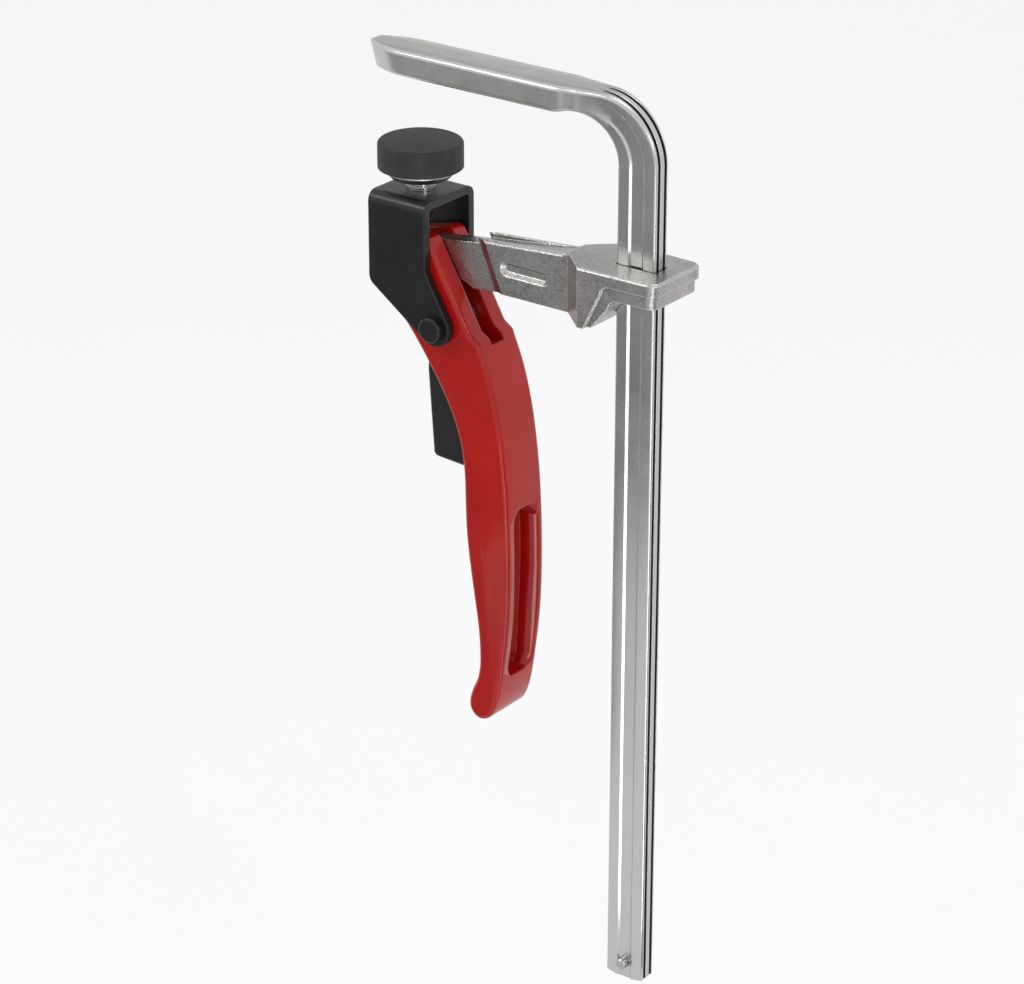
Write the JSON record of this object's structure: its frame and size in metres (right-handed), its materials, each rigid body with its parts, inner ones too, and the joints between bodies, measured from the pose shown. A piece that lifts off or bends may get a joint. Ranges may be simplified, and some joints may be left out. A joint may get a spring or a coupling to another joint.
{
  "type": "quick release bar clamp",
  "caption": "Lever clamp: grooved L-shaped bar with a narrow fixed arm, a sliding cast arm, a red ratchet lever, a swivelling pad in a steel yoke and a squeeze release.",
  "frame": {"origin": "centre of the fixed arm's clamping face, in the clamp's plane of symmetry, 60 mm from the bar's inner side", "axes": "+Z along the bar, away from the sliding arm; +X from the jaws towards the bar; +Y across the clamp"},
  "size_m": [0.0905, 0.0236, 0.2331],
  "materials": {
    "forged_steel": "satin nickel plate",
    "pin_steel": "ground",
    "cast_arm": "plated, grainy",
    "red_lacquer": "gloss",
    "black_steel": "semi-gloss",
    "pad_rubber": "matt",
    "black_plastic": "semi-gloss",
    "spring_steel": "bright",
    "hard_steel": "hardened"
  },
  "bodies": {
    "bar": {"clamp_bar": "forged_steel", "stop_pin": "pin_steel"},
    "slider": {"sliding_arm": "cast_arm"},
    "lever": {"lever_handle": "red_lacquer", "lever_pivot_pin": "pin_steel", "yoke_rivet": "black_steel", "release_spring": "spring_steel"},
    "yoke": {"pad_yoke": "black_steel", "pad_stud": "pin_steel"},
    "pad": {"pressure_pad": "forged_steel", "pad_cap": "pad_rubber"},
    "release": {"ratchet_pawl": "hard_steel", "release_paddle": "black_plastic", "paddle_pin": "pin_steel"}
  },
  "joints": [
    {"name": "arm_slide", "type": "slide", "parent": "bar", "child": "slider", "axis": [0, 0, 1], "range_m": [-0.178, 0.0118]},
    {"name": "lever_swing", "type": "hinge", "parent": "slider", "child": "lever", "pos_m": [-0.0025, 0, -0.0485], "axis": [0, 1, 0], "range_deg": [-12, 38]},
    {"name": "yoke_turn", "type": "hinge", "parent": "lever", "child": "yoke", "pos_m": [0.0112, 0, -0.06], "axis": [0, 1, 0], "range_deg": [-38, 12]},
    {"name": "pad_tilt", "type": "hinge", "parent": "yoke", "child": "pad", "pos_m": [0, 0, -0.0236], "axis": [0, 1, 0], "range_deg": [-8, 8]},
    {"name": "release_press", "type": "hinge", "parent": "lever", "child": "release", "pos_m": [0.0112, 0, -0.06], "axis": [0, -1, 0], "range_deg": [0, 8], "stiffness_Nm_per_rad": 0.6, "springref_deg": -8.59, "deforming": ["release_spring"]}
  ],
  "couplings": [
    {"joint": "yoke_turn", "follows": "lever_swing", "ratio": -1}
  ]
}
